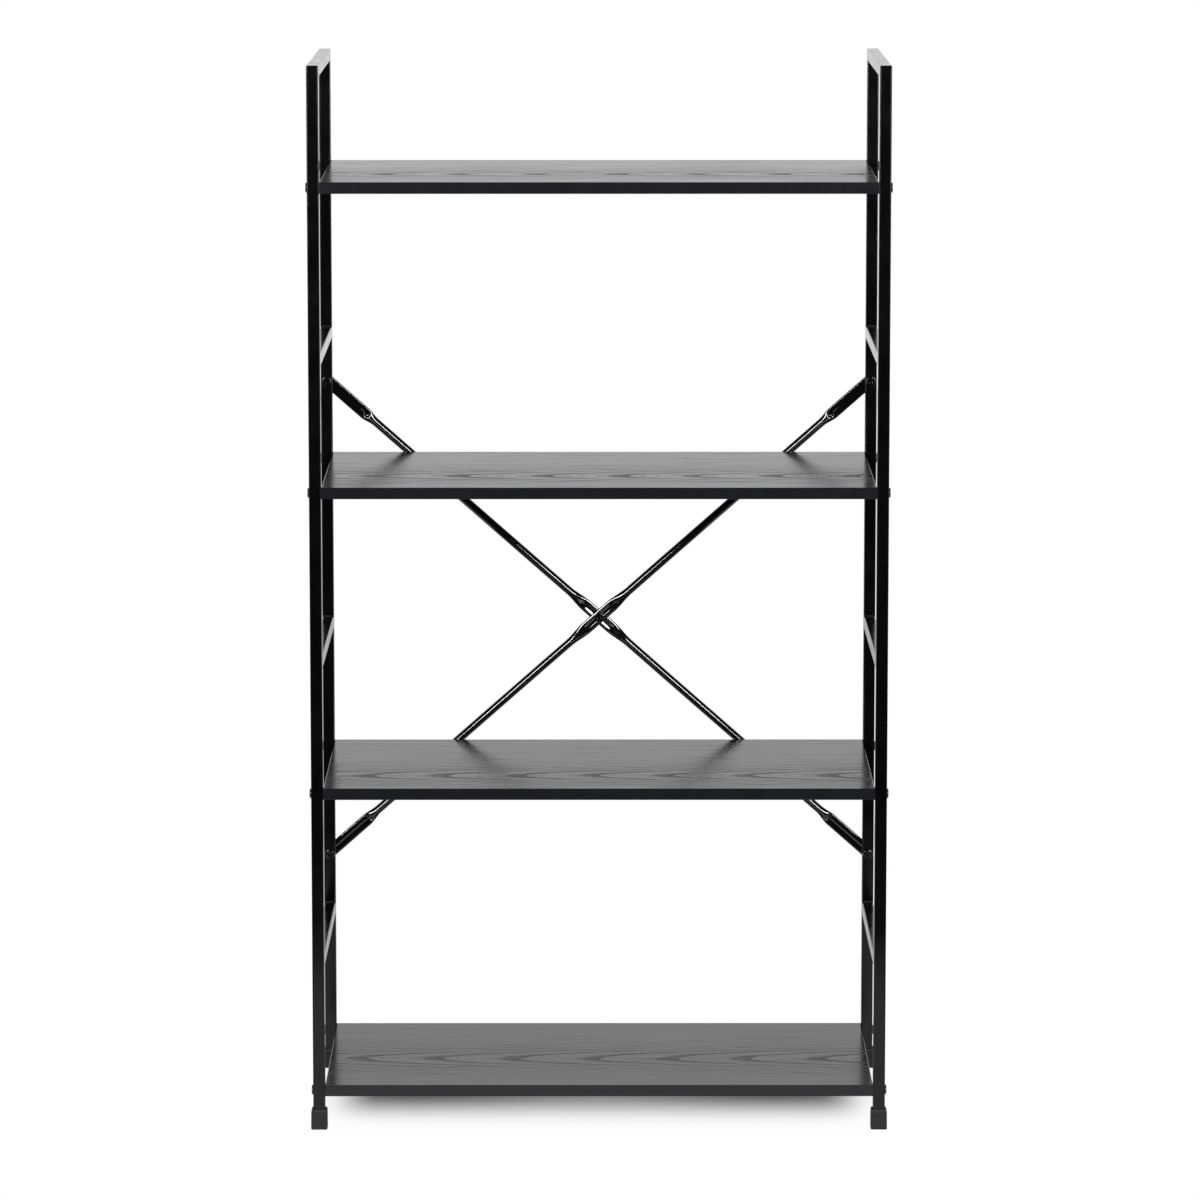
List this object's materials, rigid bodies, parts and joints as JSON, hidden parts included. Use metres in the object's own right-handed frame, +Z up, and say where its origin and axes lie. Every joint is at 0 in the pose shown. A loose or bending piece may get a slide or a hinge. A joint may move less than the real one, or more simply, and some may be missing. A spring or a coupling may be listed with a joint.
{
  "type": "bookshelf",
  "caption": "Free-standing open bookshelf: square tube end frames with rungs, dark wood-grain boards, and a cross brace behind.",
  "frame": {"origin": "on the floor, in the middle of the outer box in width and depth", "axes": "+Z up, +X to the right seen from the front, front towards -Y, braces at the back on +Y"},
  "size_m": [0.6046, 0.3149, 1.115],
  "materials": {
    "frame_paint": "gloss",
    "board_laminate": "satin",
    "edge_band": "satin",
    "foot_plastic": "matte",
    "fastener": "black zinc"
  },
  "bodies": {
    "root": {"left_front_leg": "frame_paint", "left_front_foot": "foot_plastic", "left_rear_leg": "frame_paint", "left_rear_foot": "foot_plastic", "left_top_rail": "frame_paint", "left_lower_rung": "frame_paint", "left_middle_rung": "frame_paint", "left_upper_rung": "frame_paint", "left_frame_welds": "frame_paint", "right_front_leg": "frame_paint", "right_front_foot": "foot_plastic", "right_rear_leg": "frame_paint", "right_rear_foot": "foot_plastic", "right_top_rail": "frame_paint", "right_lower_rung": "frame_paint", "right_middle_rung": "frame_paint", "right_upper_rung": "frame_paint", "right_frame_welds": "frame_paint", "bottom_shelf": "board_laminate", "bottom_shelf_edge_bands": "edge_band", "bottom_shelf_bolts": "fastener", "lower_shelf": "board_laminate", "lower_shelf_edge_bands": "edge_band", "lower_shelf_bolts": "fastener", "upper_shelf": "board_laminate", "upper_shelf_edge_bands": "edge_band", "upper_shelf_bolts": "fastener", "top_shelf": "board_laminate", "top_shelf_edge_bands": "edge_band", "top_shelf_bolts": "fastener", "front_brace": "frame_paint", "rear_brace": "frame_paint", "brace_bolts": "fastener", "brace_nuts": "fastener"}
  },
  "joints": []
}
